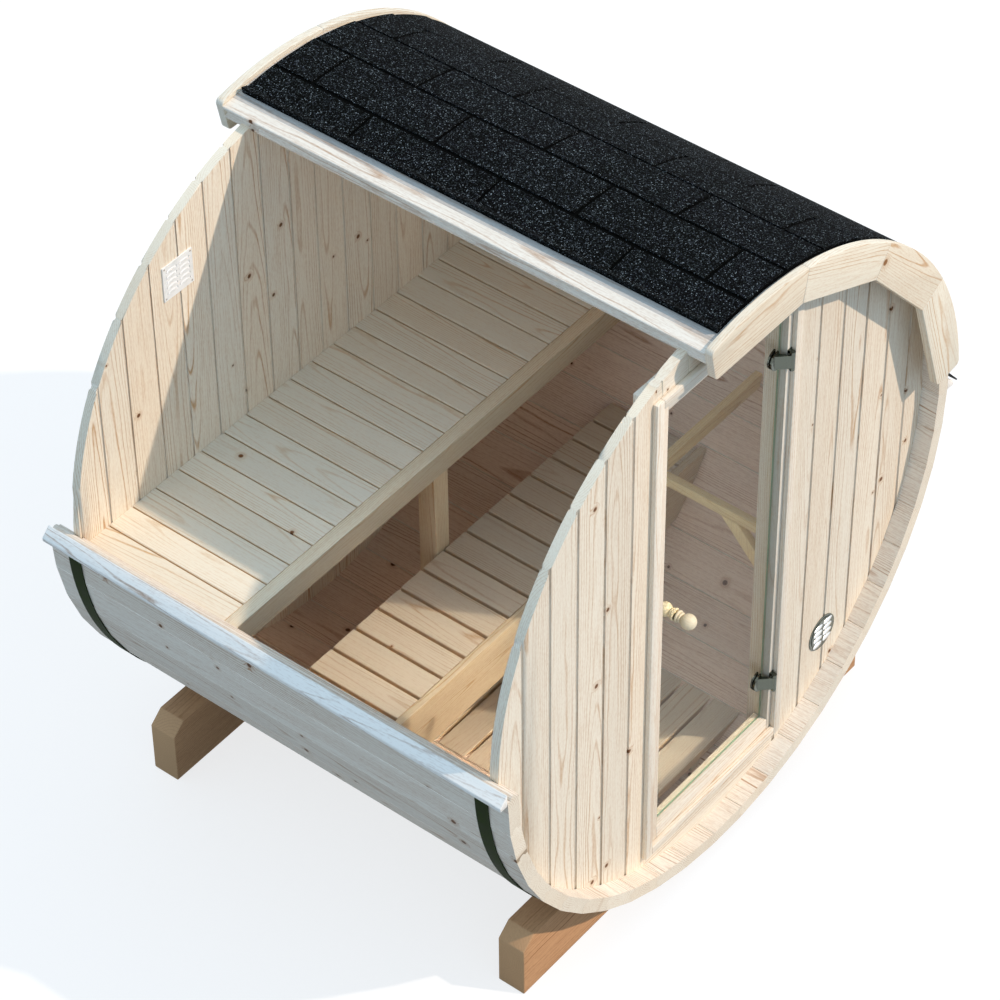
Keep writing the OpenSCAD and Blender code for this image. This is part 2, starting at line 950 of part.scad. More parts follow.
// Round vent plate with two columns of four louvre slots
module vent_front() {
    r = wall_r - vent_in;
    field = vent_d - 2 * vent_rim;
    slot_l = field / 2 - 2 * vent_rim;
    color("#c9cccd")
        translate([r * sin(vent_a), -wall_out - joint_gap, axis_z + r * cos(vent_a)])
            rotate([90, 0, 0])
                difference() {
                    union() {
                        cylinder(d = vent_d, h = vent_t / 2);
                        cylinder(d = field, h = vent_t);
                    }
                    for (s = [-1, 1])
                        for (i = [-1.5 : 1.5])
                            translate([s * field / 5, i * field / 5, vent_t])
                                cube([slot_l, louvre_h, vent_t], center = true);
                }
}

// Square vent plate with two columns of five louvre slots, inside the back wall
module vent_back() {
    r = wall_r - grille_in;
    field = grille_w - 2 * vent_rim;
    slot_l = field / 2 - vent_rim;
    color("#f2f2f0")
        translate([-r * sin(grille_a), wall_face - joint_gap, axis_z + r * cos(grille_a)])
            rotate([90, 0, 0])
                difference() {
                    translate([-grille_w / 2, -grille_w / 2, 0])
                        cube([grille_w, grille_w, grille_t]);
                    for (s = [-1, 1])
                        for (i = [-2 : 2])
                            translate([s * field / 4, i * field / 5.5, grille_t])
                                cube([slot_l, louvre_h, grille_t], center = true);
                }
}

cradle_front();
cradle_back();
staves_crown();
staves_right_upper();
staves_right_lower();
staves_bottom_right();
staves_bottom_left();
staves_left();
band_front();
band_back();
back_wall();
front_wall_left();
front_wall_right();
front_wall_over_door();
front_wall_under_door();
door_jamb_left();
door_jamb_right();
door_head();
door_sill();
door_trim();
door_glass();
door_knob();
hinge_leaves();
hinge_brackets();
bench_slats();
bench_apron();
bench_ledger();
bench_leg();
step_slats();
step_front_board();
step_bearer();
floor_slats();
floor_bearers();
guard_cross_rail();
guard_side_rail();
guard_brace();
fascia_front();
fascia_back();
roof_shingles();
eave_batten_left();
eave_batten_right();
eave_drip();
vent_front();
vent_back();
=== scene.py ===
"""Barrel sauna: the looks of its staves, walls, roof, door and benches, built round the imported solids."""
import json
import math
import random

import bmesh
import bpy
from mathutils import Matrix, Vector


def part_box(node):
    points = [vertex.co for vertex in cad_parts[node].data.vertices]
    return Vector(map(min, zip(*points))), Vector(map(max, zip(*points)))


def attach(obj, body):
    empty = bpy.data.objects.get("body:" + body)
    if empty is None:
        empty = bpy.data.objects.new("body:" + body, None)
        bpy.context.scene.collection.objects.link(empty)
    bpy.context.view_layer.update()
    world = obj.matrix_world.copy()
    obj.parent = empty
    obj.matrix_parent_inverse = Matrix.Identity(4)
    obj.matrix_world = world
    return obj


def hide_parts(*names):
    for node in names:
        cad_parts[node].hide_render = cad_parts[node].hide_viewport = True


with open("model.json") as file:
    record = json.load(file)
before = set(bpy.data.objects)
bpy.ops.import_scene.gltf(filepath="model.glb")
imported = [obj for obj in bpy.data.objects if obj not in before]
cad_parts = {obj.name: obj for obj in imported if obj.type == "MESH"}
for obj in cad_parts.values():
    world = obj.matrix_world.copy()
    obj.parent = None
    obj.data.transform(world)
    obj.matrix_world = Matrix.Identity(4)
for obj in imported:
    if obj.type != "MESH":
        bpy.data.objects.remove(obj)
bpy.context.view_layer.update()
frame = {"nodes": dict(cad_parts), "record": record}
nodes = frame["nodes"]
bodies = frame["record"]["behaviour"]["bodies"]
scene = bpy.context.scene
scene.view_settings.view_transform = "Standard"

# Cradles
# Two beams of construction pine, planed once and hollowed to the barrel's round.
# They lie on the ground and carry the whole weight, and weather to an orange brown.
back_low, back_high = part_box("back_wall")
# The barrel's axis runs through the middle of the round back wall
axis_height = round((back_low.z + back_high.z) / 2, 4)


def linear(hexa):
    """Linear colour of an sRGB hex value."""
    parts = [int(hexa[i:i + 2], 16) / 255 for i in (1, 3, 5)]
    return tuple(c / 12.92 if c <= 0.04045 else ((c + 0.055) / 1.055) ** 2.4 for c in parts) + (1.0,)


def put(tree, kind, *inputs, **settings):
    """Adds one node. Settings that aren't its properties are inputs by name, and a node given
    as an input stands for its first output."""
    node = tree.nodes.new(kind)
    named = {}
    for key, value in settings.items():
        if hasattr(node, key):
            setattr(node, key, value)
        else:
            named[key.replace("_", " ")] = value
    pairs = list(zip([s for s in node.inputs if s.enabled], inputs))
    pairs += [(node.inputs[key], value) for key, value in named.items()]
    for socket, value in pairs:
        if isinstance(value, bpy.types.Node):
            value = next(o for o in value.outputs if o.enabled)
        if isinstance(value, bpy.types.NodeSocket):
            tree.links.new(value, socket)
        elif value is not None:
            socket.default_value = value
    return node


def bare_material(name):
    """A new material and its node tree, with nothing in the tree yet."""
    mat = bpy.data.materials.new(name)
    mat.use_nodes = True
    mat.node_tree.nodes.clear()
    return mat, mat.node_tree


def softwood(name, pale, late, knot, end, ring_mm=6.0, knots=0.45, stout=1.0, ends=0.3, rough=0.62,
             early=0.33, plain=0.60):
    """Planed softwood as sawn from a log: late wood darkens at every year ring, rings part round
    the knots, fibres run along the grain, and sawn ends are paler. Reads the boards' attributes.
    Knots is the share of squares that hold one, stout their thickness, ends how pale sawn ends are,
    early the share of a year before its late wood, and plain how little the fibres show."""
    mat, t = bare_material(name)
    log = put(t, "ShaderNodeAttribute", attribute_name="grain").outputs["Vector"]
    shade = put(t, "ShaderNodeAttribute", attribute_name="tone").outputs["Vector"]
    butt = put(t, "ShaderNodeAttribute", attribute_name="butt").outputs["Fac"]

    # One branch in every 200 mm square of board at most, 6 to 14 mm thick where stout is 1
    square = 0.200
    thinnest, spread = 0.0032 * stout / square, 0.0040 * stout / square
    branch = put(t, "ShaderNodeTexVoronoi", voronoi_dimensions="2D", Vector=log, Scale=1 / square)
    odds = put(t, "ShaderNodeSeparateColor", branch.outputs["Color"])
    kept = put(t, "ShaderNodeMath", odds.outputs[0], knots, operation="LESS_THAN")
    thick = put(t, "ShaderNodeMath", odds.outputs[1], spread, thinnest, operation="MULTIPLY_ADD")
    reach = put(t, "ShaderNodeMath", branch.outputs["Distance"], thick, operation="DIVIDE")
    core = put(t, "ShaderNodeMapRange", reach, 1.25, 0.75, 0.0, kept, interpolation_type="SMOOTHSTEP")
    halo = put(t, "ShaderNodeMapRange", reach, 3.5, 0.8, 0.0, kept, interpolation_type="SMOOTHSTEP")

    # Year rings about the pith, which sway by up to 30 mm along the trunk and bend by 7 mm round a knot.
    # A stretch such as this one is in repeats per metre, first along the trunk and then across it
    year, sway_by, bend_by = ring_mm / 1000, 0.030, 0.007
    slow = put(t, "ShaderNodeVectorMath", log, (1.2, 6.0, 6.0), operation="MULTIPLY")
    sway = put(t, "ShaderNodeTexNoise", Vector=slow, Scale=1.0, Detail=3.0, Roughness=0.5)
    across = put(t, "ShaderNodeVectorMath", log, (0.0, 1.0, 1.0), operation="MULTIPLY")
    radius = put(t, "ShaderNodeVectorMath", across, operation="LENGTH")
    bent = put(t, "ShaderNodeMath", halo, bend_by, radius, operation="MULTIPLY_ADD")
    ring = put(t, "ShaderNodeMath", sway, sway_by, bent, operation="MULTIPLY_ADD")
    wave = put(t, "ShaderNodeMath", ring, year / 2, operation="PINGPONG")
    dark = put(t, "ShaderNodeMapRange", wave, early * year, 0.5 * year, interpolation_type="SMOOTHSTEP")

    # Fibres and pores 4 mm wide, drawn coarser than the wood's own so that they show, and broad clouds
    fine = put(t, "ShaderNodeVectorMath", log, (6.0, 240.0, 240.0), operation="MULTIPLY")
    fibre = put(t, "ShaderNodeTexNoise", Vector=fine, Scale=1.0, Detail=2.0, Roughness=0.6)
    broad = put(t, "ShaderNodeVectorMath", log, (0.9, 15.0, 15.0), operation="MULTIPLY")
    cloud = put(t, "ShaderNodeTexNoise", Vector=broad, Scale=1.0, Detail=1.0)
    depth = put(t, "ShaderNodeMath", cloud, 1.9, -0.55, operation="MULTIPLY_ADD")
    rings = put(t, "ShaderNodeMath", dark, depth, operation="MULTIPLY")
    short = put(t, "ShaderNodeVectorMath", log, (70.0, 260.0, 260.0), operation="MULTIPLY")
    pores = put(t, "ShaderNodeTexNoise", Vector=short, Scale=1.0, Detail=1.0)
    rough_fibre = put(t, "ShaderNodeMath", fibre, 0.8, -plain, operation="MULTIPLY_ADD")
    pitted = put(t, "ShaderNodeMath", pores, 0.55, rough_fibre, operation="MULTIPLY_ADD")
    share = put(t, "ShaderNodeMath", rings, pitted, operation="ADD", use_clamp=True)

    # Colours from the plain face to knots, sawn ends and the board's own tone
    face = put(t, "ShaderNodeMix", share, linear(pale), linear(late), data_type="RGBA")
    red = put(t, "ShaderNodeMath", halo, 0.4, operation="MULTIPLY")
    ringed = put(t, "ShaderNodeMix", red, face, linear(late), data_type="RGBA")
    knotted = put(t, "ShaderNodeMix", core, ringed, linear(knot), data_type="RGBA")
    sawn = put(t, "ShaderNodeMath", butt, ends, operation="MULTIPLY")
    ended = put(t, "ShaderNodeMix", sawn, knotted, linear(end), data_type="RGBA")
    toned = put(t, "ShaderNodeVectorMath", ended, shade, operation="MULTIPLY")

    gloss = put(t, "ShaderNodeMath", fibre, 0.2, rough - 0.1, operation="MULTIPLY_ADD")
    bump = put(t, "ShaderNodeBump", Height=fibre, Strength=0.3, Distance=0.001)
    wood = put(t, "ShaderNodeBsdfPrincipled", Base_Color=toned, Roughness=gloss, Normal=bump)
    wood.inputs["Specular IOR Level"].default_value = 0.25
    put(t, "ShaderNodeOutputMaterial", wood)
    return mat


def show(piece_name, mesh, finish, body, replaced=()):
    """Sets a finished mesh in the scene as a piece that rides on a body."""
    mesh.materials.clear()
    mesh.materials.append(finish)
    piece = bpy.data.objects.new(piece_name, mesh)
    scene.collection.objects.link(piece)
    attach(piece, body)
    if replaced:
        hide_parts(*replaced)


def boards(node, finish, lay="", ease=0.0, cuts=(), split=True, pith=None, flame=0.03, stain=None,
           reshape=None):
    """Copies the boards of a node, eases their edges and gives every board a log of its own: grain
    is the place in the log, from its pith, tone the board's shade, and butt marks sawn ends. A stain
    changes the tone of a face by its place and normal, and reshape gives a point its finished place.
    Lay says which way the grain runs, or else it follows the longest side. Boards meet at the cuts along
    x, but without split a cut only parts faces. Pith sets where the log's heart lies in place of a draw,
    and flame how far the trunk may lean."""
    wood = bmesh.new()
    wood.from_mesh(nodes[node].data)
    bmesh.ops.remove_doubles(wood, verts=wood.verts, dist=1e-5)
    if reshape:
        for v in wood.verts:
            v.co = reshape(v.co.copy())
    bmesh.ops.dissolve_limit(wood, angle_limit=math.radians(0.2), verts=wood.verts, edges=wood.edges)
    for x in cuts:
        everything = wood.verts[:] + wood.edges[:] + wood.faces[:]
        sliced = bmesh.ops.bisect_plane(wood, geom=everything, plane_co=(x, 0, 0), plane_no=(1, 0, 0),
                                        dist=1e-6)
        if split:
            seam = [e for e in sliced["geom_cut"] if isinstance(e, bmesh.types.BMEdge)]
            bmesh.ops.split_edges(wood, edges=seam)
    bmesh.ops.holes_fill(wood, edges=[e for e in wood.edges if e.is_boundary], sides=0)
    if ease:
        steep = math.radians(35)
        sharp = [e for e in wood.edges if len(e.link_faces) == 2 and e.calc_face_angle() > steep]
        bmesh.ops.bevel(wood, geom=sharp, offset=ease, segments=2, profile=0.5, affect="EDGES",
                        clamp_overlap=True)
    bmesh.ops.recalc_face_normals(wood, faces=wood.faces)

    grain = wood.verts.layers.float_vector.new("grain")
    tone = wood.loops.layers.float_vector.new("tone")
    butt = wood.faces.layers.float.new("butt")
    draw = random.Random(node)
    seen = set()
    for first in wood.verts:
        if first in seen:
            continue
        board = [first]
        seen.add(first)
        for v in board:
            fresh = {e.other_vert(v) for e in v.link_edges} - seen
            seen |= fresh
            board += sorted(fresh, key=lambda u: u.index)
        low, high = (Vector([pick(v.co[i] for v in board) for i in range(3)]) for pick in (min, max))
        middle = (low + high) / 2
        turn = math.atan2(middle.x, middle.z - axis_height)
        out = Vector((math.sin(turn), 0, math.cos(turn)))
        side = Vector((math.cos(turn), 0, -math.sin(turn)))
        if lay == "stave":
            axes = Vector((0, 1, 0)), side, out
        elif lay == "fascia":
            axes = side, out, Vector((0, 1, 0))
        else:
            order = sorted(range(3), key=lambda i: ("XYZ"[i] != lay, low[i] - high[i]))
            axes = [Vector([float(i == k) for i in range(3)]) for k in order]
        # Where the pith lies, how the trunk leans, where in it the board starts, and the board's shade
        away, deep = draw.uniform(-0.05, 0.05), draw.uniform(0.03, 0.09) * draw.choice((-1, 1))
        away, deep = pith or (away, deep)
        lean, start = draw.uniform(-flame, flame), draw.uniform(0, 90)
        light, warm = 1 + draw.uniform(-0.05, 0.05), draw.uniform(-0.02, 0.02)
        for v in board:
            along, over, through = (axis.dot(v.co - middle) for axis in axes)
            v[grain] = along + start, over + away, through + deep + lean * along
        for f in {f for v in board for f in v.link_faces}:
            f[butt] = min(1.0, 1.3 * abs(f.normal.dot(axes[0])))
            stained = stain(f.calc_center_median(), f.normal) if stain else (1, 1, 1)
            for corner in f.loops:
                corner[tone] = [light * c * d for c, d in zip((1 + warm, 1, 1 - warm), stained)]
    mesh = bpy.data.meshes.new(node + "_wood")
    wood.to_mesh(mesh)
    wood.free()
    mesh.shade_smooth()
    mesh.set_sharp_from_angle(angle=math.radians(28))
    body = next(name for name, members in bodies.items() if node in members)
    show(node + "_wood", mesh, finish, body, [node])


pine = softwood("pine_planed_weathered", "#c99a70", "#86532f", "#5a3820", "#cda277", ring_mm=7.0,
                knots=0.3, ends=0.75, rough=0.72)
for node in ("cradle_front", "cradle_back"):
    boards(node, pine, ease=0.003)

# Staves
# Flat staves of Nordic spruce with a bead on one edge and a cove on the other, planed and left bare.
# Each is its own board, so grain, tone and knots change from stave to stave. The bands draw them tight.
spruce_stave = softwood("spruce_planed_stave", "#f0e6d7", "#ad8058", "#5f3c20", "#f3e4c4", knots=0.5,
                        stout=1.15)
# The bare strip beside the shingles is above crown_z, and a painted shadow of the shingles covers it from
# the second value to the shingles
crown_z, shingle_shadow_x = axis_height + 0.9, -0.161
room_half = 0.7


def stave_light_and_shade(spot, normal):
    """Low joints get a painted highlight on the eased edge that looks up and painted shade on the other.
    The crown's bare strip gets a painted shadow of the shingles, and the room's side painted warm shade."""
    turn = math.atan2(spot.x, spot.z - axis_height)
    facing = normal.x * math.sin(turn) + normal.z * math.cos(turn)
    # Eased edges of low joints: painted highlight on the one facing up, painted shade on the other
    if 0.3 < facing < 0.93 and spot.z < axis_height:
        return (1.1, 1.1, 1.1) if normal.z > math.cos(turn) else (0.66, 0.66, 0.67)
    # Painted shadow of the shingles on the crown's bare strip
    if facing > 0.9 and spot.z > crown_z and spot.x > shingle_shadow_x:
        return 0.66, 0.69, 0.74
    # Inner faces in the room: painted warm shade, standing in for light bounced off the wood
    if facing < -0.9 and abs(spot.y) < room_half:
        return 1.0, 0.88, 0.84
    return 1, 1, 1


for node in nodes:
    if node.startswith("staves_"):
        scored = [shingle_shadow_x] if node == "staves_crown" else []
        boards(node, spruce_stave, lay="stave", cuts=scored, split=False, stain=stave_light_and_shade)

# End walls
# Upright tongued spruce boards with a groove at each joint, let into the grooves of the staves.
# A plain board lies over the door and another under it.
board_width = 0.1135
# The front wall's boards are set out from the doorway, and the back wall's from the middle
by_doorway, by_middle = 0.411, 0.051
front_joints = [s * (by_doorway + i * board_width) for s in (-1, 1) for i in range(-3, 5)]
back_joints = [s * (by_middle + i * board_width) for s in (-1, 1) for i in range(8)]
wall_middle = (back_low.y + back_high.y) / 2
wall_radius = back_high.x
# Grooves in the solids, half their width at the face and at the floor, and the shares drawn of that
groove_half, floor_half, groove_deep = 0.008, 0.003, 0.005
finer_outside, finer_inside = 0.65, 0.4
close = 0.0002
over_door_out, over_door_in = (corner.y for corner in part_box("front_wall_over_door"))
spruce_wall = softwood("spruce_planed_wall", "#f1e5d1", "#c1966a", "#6b4526", "#f5ead2", ends=0.45)


def nearest_joint(spot):
    """The joint of its own wall that a place is nearest to."""
    return min(front_joints if spot.y < 0 else back_joints, key=lambda x: abs(spot.x - x))


def finer_groove(spot):
    """Draws a groove in towards its joint: 10 mm wide outside, 6 mm wide and half as deep in the room.
    Where the groove ends at the wall's rim, its points stay on the rim."""
    joint = nearest_joint(spot)
    aside = spot.x - joint
    on_edge, on_floor = (abs(abs(aside) - half) < close for half in (groove_half, floor_half))
    if not (on_edge or on_floor):
        return spot
    inside = abs(spot.y) < wall_middle
    radius = math.hypot(spot.x, spot.z - axis_height)
    spot.x = joint + aside * (finer_inside if inside else finer_outside)
    if radius > wall_radius - 10 * close:
        spot.z = axis_height + math.copysign(math.sqrt(radius ** 2 - spot.x ** 2), spot.z - axis_height)
    if inside and on_floor:
        spot.y -= math.copysign(groove_deep / 2, spot.y)
    return spot


def filled_groove(spot):
    """Fills a groove, for the plain board over the door."""
    if abs(abs(spot.x - nearest_joint(spot)) - floor_half) < close:
        spot.y = over_door_in if abs(spot.y) < wall_middle else over_door_out
    return spot


def groove_light_and_shade(spot, normal):
    """In the room the grooves are painted paler as light, and outside painted shade darkens them, most of
    all their floors.
    """
    drawn_half = 0.0055
    if abs(spot.x - nearest_joint(spot)) > drawn_half or abs(normal.z) > 0.5:
        return 1, 1, 1
    # In the room: painted light in the grooves
    if abs(spot.y) < wall_middle:
        return 1.06, 1.08, 1.12
    # Outside: painted shade on the groove floors, and a little on their sides
    return (0.52, 0.54, 0.57) if abs(normal.y) > 0.9 else (0.95, 0.95, 0.96)


for node in nodes:
    if node.startswith("front_wall"):
        if node.endswith("_door"):
            boards(node, spruce_wall, lay="X", reshape=filled_groove)
        else:
            low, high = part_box(node)
            between = [x for x in front_joints if low.x < x < high.x]
            boards(node, spruce_wall, lay="Z", cuts=between, stain=groove_light_and_shade,
                   reshape=finer_groove)
boards("back_wall", spruce_wall, lay="Z", cuts=back_joints, stain=groove_light_and_shade,
       reshape=finer_groove)

# Steel bands
# Two bands of galvanised strip, painted a green black, drawn tight round the lower half of the barrel.
# The paint is matt and dusty in places.


def painted(name, colour, dust, rough, dust_mm, shine=0.5):
    """Paint, coating or moulded skin: one colour with a veil of dust and a rough, uneven surface."""
    mat, t = bare_material(name)
    place = put(t, "ShaderNodeTexCoord").outputs["Object"]
    cloud = put(t, "ShaderNodeTexNoise", Vector=place, Scale=1000 / dust_mm, Detail=4.0, Roughness=0.65)
    veil = put(t, "ShaderNodeMapRange", cloud, 0.42, 0.75, interpolation_type="SMOOTHSTEP")
    coat = put(t, "ShaderNodeMix", veil, linear(colour), linear(dust), data_type="RGBA")
    gloss = put(t, "ShaderNodeMath", cloud, 0.3, rough - 0.15, operation="MULTIPLY_ADD")
    bump = put(t, "ShaderNodeBump", Height=cloud, Strength=0.15, Distance=0.0005)
    skin = put(t, "ShaderNodeBsdfPrincipled", Base_Color=coat, Roughness=gloss, Normal=bump)
    skin.inputs["Specular IOR Level"].default_value = shine
    put(t, "ShaderNodeOutputMaterial", skin)
    return mat


def dress(names, mat):
    """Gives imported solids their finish."""
    for name in names:
        nodes[name].data.materials.clear()
        nodes[name].data.materials.append(mat)


band_paint = painted("steel_galvanised_painted", "#18260a", "#24340f", rough=0.7, dust_mm=30, shine=0.1)
dress(["band_front", "band_back"], band_paint)

# Door frame
# Jambs, head and sill of spruce set in the doorway, with planed trim over the joint to the wall.
# The wood is picked nearly clear of knots, so that the frame stays straight for the glass.
spruce_frame = softwood("spruce_planed_frame", "#efe5d4", "#c8a077", "#7a5030", "#f2ebdf", knots=0.15)


def doorway_side_shade(spot, normal):
    """Painted shade darkens the sides that face the doorway."""
    # Painted shade on the jamb sides that face the doorway
    return (0.74, 0.73, 0.71) if abs(normal.x) > 0.7 and normal.x * spot.x < 0 else (1, 1, 1)


for node in ("door_jamb_left", "door_jamb_right", "door_head", "door_sill"):
    boards(node, spruce_frame, ease=0.002, stain=doorway_side_shade)
boards("door_trim", spruce_frame, ease=0.0025)

# Fascia and battens
# Fascia boards nailed to the ends of the staves, sawn round outside and straight inside.
# A bevelled batten closes the barrel along its widest line on both sides.
spruce_fascia = softwood("spruce_planed_fascia", "#ebe0cb", "#c59c70", "#8a6038", "#f4efe6", knots=0.5,
                         stout=1.6)
for node in ("fascia_front", "fascia_back"):
    boards(node, spruce_fascia, lay="fascia", ease=0.002)
spruce_batten = softwood("spruce_planed_batten", "#fbf6ee", "#97693f", "#7a5030", "#f4efe6", ring_mm=9.0,
                         knots=0.8, stout=1.3, early=0.36, plain=0.67)
for node in ("eave_batten_left", "eave_batten_right"):
    boards(node, spruce_batten, ease=0.0025, pith=(0.04, -0.04), flame=0.1)

# Shingles
# Bitumen shingles with a skin of crushed slate, nailed in courses along the barrel from the crown
# to the eave, each course lapping the next, over a dark underlay. Joints are staggered.
roof_half = round(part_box("roof_shingles")[1].y, 4)
# Angles are from the top of the barrel, and radii from its axis
roof_start, roof_end = math.radians(-7.74), math.radians(86.3)
course, tab_share, short_share = math.radians(9.83), 0.905, 0.88
deck_r, underlay_r, tab_r, butt_r = 1.0004, 1.0045, 1.0085, 1.0120
tab_back_r = 0.999 * underlay_r
edging_arc, edging_back_r, edging_top_r, edging_low_r = math.radians(1.2), 1.0025, 1.0205, 1.0090


def bent_strip(arc, inner, upper, lower, steps):
    """Strip bent round the barrel's axis from the top to an angle and one metre long. Its outer radius
    goes from upper to lower."""
    strip = bmesh.new()
    rows = []
    for i in range(steps + 1):
        a = arc * i / steps
        outer = upper + (lower - upper) * i / steps
        rows.append([strip.verts.new((r * math.sin(a), y, r * math.cos(a)))
                     for r, y in ((inner, -0.5), (outer, -0.5), (outer, 0.5), (inner, 0.5))])
    for one, two in zip(rows, rows[1:]):
        for k in range(4):
            strip.faces.new((one[k], one[k - 1], two[k - 1], two[k]))
    strip.faces.new(rows[0])
    strip.faces.new(rows[-1][::-1])
    bmesh.ops.recalc_face_normals(strip, faces=strip.faces)
    mesh = bpy.data.meshes.new("strip")
    strip.to_mesh(mesh)
    strip.free()
    return bpy.data.objects.new("strip", mesh)


# Slate pressed into bitumen looks almost black, with paler chips and painted glints of mica. The grains are
# drawn about twice as coarse as real ones so that they show. Wear comes in patches of about 110 mm.
grit_mm, mica_mm = 2.6, 2.3
slate, t = bare_material("bitumen_slate_granules")
place = put(t, "ShaderNodeTexCoord").outputs["Object"]
tab_tone = put(t, "ShaderNodeAttribute", attribute_name="tab_tone").outputs["Fac"]
grit = put(t, "ShaderNodeTexVoronoi", Vector=place, Scale=1000 / grit_mm)
grain = put(t, "ShaderNodeSeparateColor", grit.outputs["Color"])
pale_grain = put(t, "ShaderNodeMath", grain.outputs[0], 9.0, operation="POWER")
chip = put(t, "ShaderNodeMix", grain.outputs[2], linear("#3a423e"), linear("#3e424d"), data_type="RGBA")
mica = put(t, "ShaderNodeTexVoronoi", Vector=place, Scale=1000 / mica_mm)
flake = put(t, "ShaderNodeSeparateColor", mica.outputs["Color"])
glint = put(t, "ShaderNodeMath", flake.outputs[0], 42.0, operation="POWER")
worn = put(t, "ShaderNodeTexNoise", Vector=place, Scale=9.0, Detail=3.0)
bare = put(t, "ShaderNodeMath", worn, tab_tone, operation="MULTIPLY")
ground = put(t, "ShaderNodeMix", bare, linear("#020303"), linear("#08090b"), data_type="RGBA")
chipped = put(t, "ShaderNodeMix", pale_grain, ground, chip, data_type="RGBA")
# Painted glints: pale specks put into the base colour
speckled = put(t, "ShaderNodeMix", glint, chipped, linear("#8b959a"), data_type="RGBA")
grit_bump = put(t, "ShaderNodeBump", Height=grain.outputs[1], Strength=0.5, Distance=0.002)
granules = put(t, "ShaderNodeBsdfPrincipled", Base_Color=speckled, Roughness=0.95, Normal=grit_bump)
granules.inputs["Specular IOR Level"].default_value = 0.05
put(t, "ShaderNodeOutputMaterial", granules)


def sized_tree(name, labels):
    """A new tree that makes geometry from named sizes, listed by kind, and the sizes' identifiers."""
    tree = bpy.data.node_groups.new(name, "GeometryNodeTree")
    face = tree.interface
    face.new_socket("Geometry", in_out="OUTPUT", socket_type="NodeSocketGeometry")
    keys = {}
    for kind, names in labels.items():
        for label in names:
            socket = face.new_socket(label, in_out="INPUT", socket_type="NodeSocket" + kind)
            keys[label] = socket.identifier
    return tree, keys


def grown(name, tree, keys, sizes):
    """Runs a tree on an empty mesh with its sizes set and gives the plain mesh that comes out."""
    holder = bpy.data.objects.new(name, bpy.data.meshes.new(name))
    scene.collection.objects.link(holder)
    modifier = holder.modifiers.new(name, "NODES")
    modifier.node_group = tree
    for label, value in sizes.items():
        modifier[keys[label]] = value
    ready = holder.evaluated_get(bpy.context.evaluated_depsgraph_get())
    mesh = bpy.data.meshes.new_from_object(ready)
    bpy.data.objects.remove(holder)
    mesh.name = name
    return mesh


# Every course has five places for tabs. An odd course starts with a wide tab across the middle of the
# roof, an even one with a joint there, and a place past the roof's end stays empty.
per_course, least_length = 5, 0.02
tree, keys = sized_tree("shingle_courses", {
    "Object": ["Tab", "Short tab"],
    "Int": ["Courses", "Seed"],
    "Float": ["Course angle", "Tab width", "Odd tab width", "Odd middle", "Half length", "Joint",
              "Axis height"],
    "Material": ["Finish"]})
given = put(tree, "NodeGroupInput").outputs
count = put(tree, "ShaderNodeMath", given["Courses"], per_course, operation="MULTIPLY")
points = put(tree, "GeometryNodePoints", Count=count)
index = put(tree, "GeometryNodeInputIndex")
courses_on = put(tree, "ShaderNodeMath", index, per_course, operation="DIVIDE")
row = put(tree, "ShaderNodeMath", courses_on, operation="FLOOR")
place_in_row = put(tree, "ShaderNodeMath", index, per_course, operation="MODULO")
odd = put(tree, "ShaderNodeMath", row, 2.0, operation="MODULO")
width = put(tree, "ShaderNodeMix", odd, given["Tab width"], given["Odd tab width"], data_type="FLOAT")
wide = put(tree, "ShaderNodeMath", given["Odd middle"], odd, operation="MULTIPLY")
joints = []
for side in (0.0, 1.0):
    step = put(tree, "ShaderNodeMath", place_in_row, side - 2.0, operation="ADD")
    shifted = put(tree, "ShaderNodeMath", odd, -0.5, step, operation="MULTIPLY_ADD")
    from_middle = put(tree, "ShaderNodeMath", shifted, operation="ABSOLUTE")
    tabs_out = put(tree, "ShaderNodeMath", odd, -0.5, from_middle, operation="MULTIPLY_ADD")
    far = put(tree, "ShaderNodeMath", tabs_out, width, wide, operation="MULTIPLY_ADD")
    near = put(tree, "ShaderNodeMath", far, given["Half length"], operation="MINIMUM")
    sign = put(tree, "ShaderNodeMath", shifted, operation="SIGN")
    joints.append(put(tree, "ShaderNodeMath", near, sign, operation="MULTIPLY"))
length = put(tree, "ShaderNodeMath", joints[1], joints[0], operation="SUBTRACT")
cut = put(tree, "ShaderNodeMath", length, given["Joint"], operation="SUBTRACT")
both = put(tree, "ShaderNodeMath", joints[0], joints[1], operation="ADD")
middle = put(tree, "ShaderNodeMath", both, 0.5, operation="MULTIPLY")
spot = put(tree, "ShaderNodeCombineXYZ", 0.0, middle, given["Axis height"])
placed = put(tree, "GeometryNodeSetPosition", points, Position=spot)
before = put(tree, "ShaderNodeMath", row, 1.0, operation="SUBTRACT")
angle = put(tree, "ShaderNodeMath", before, given["Course angle"], operation="MULTIPLY")
first_angle = put(tree, "ShaderNodeMath", angle, roof_start, operation="MAXIMUM")
spin = put(tree, "ShaderNodeCombineXYZ", 0.0, first_angle, 0.0)
stretch = put(tree, "ShaderNodeCombineXYZ", 1.0, cut, 1.0)
real = put(tree, "FunctionNodeCompare", length, least_length, data_type="FLOAT", operation="GREATER_THAN")

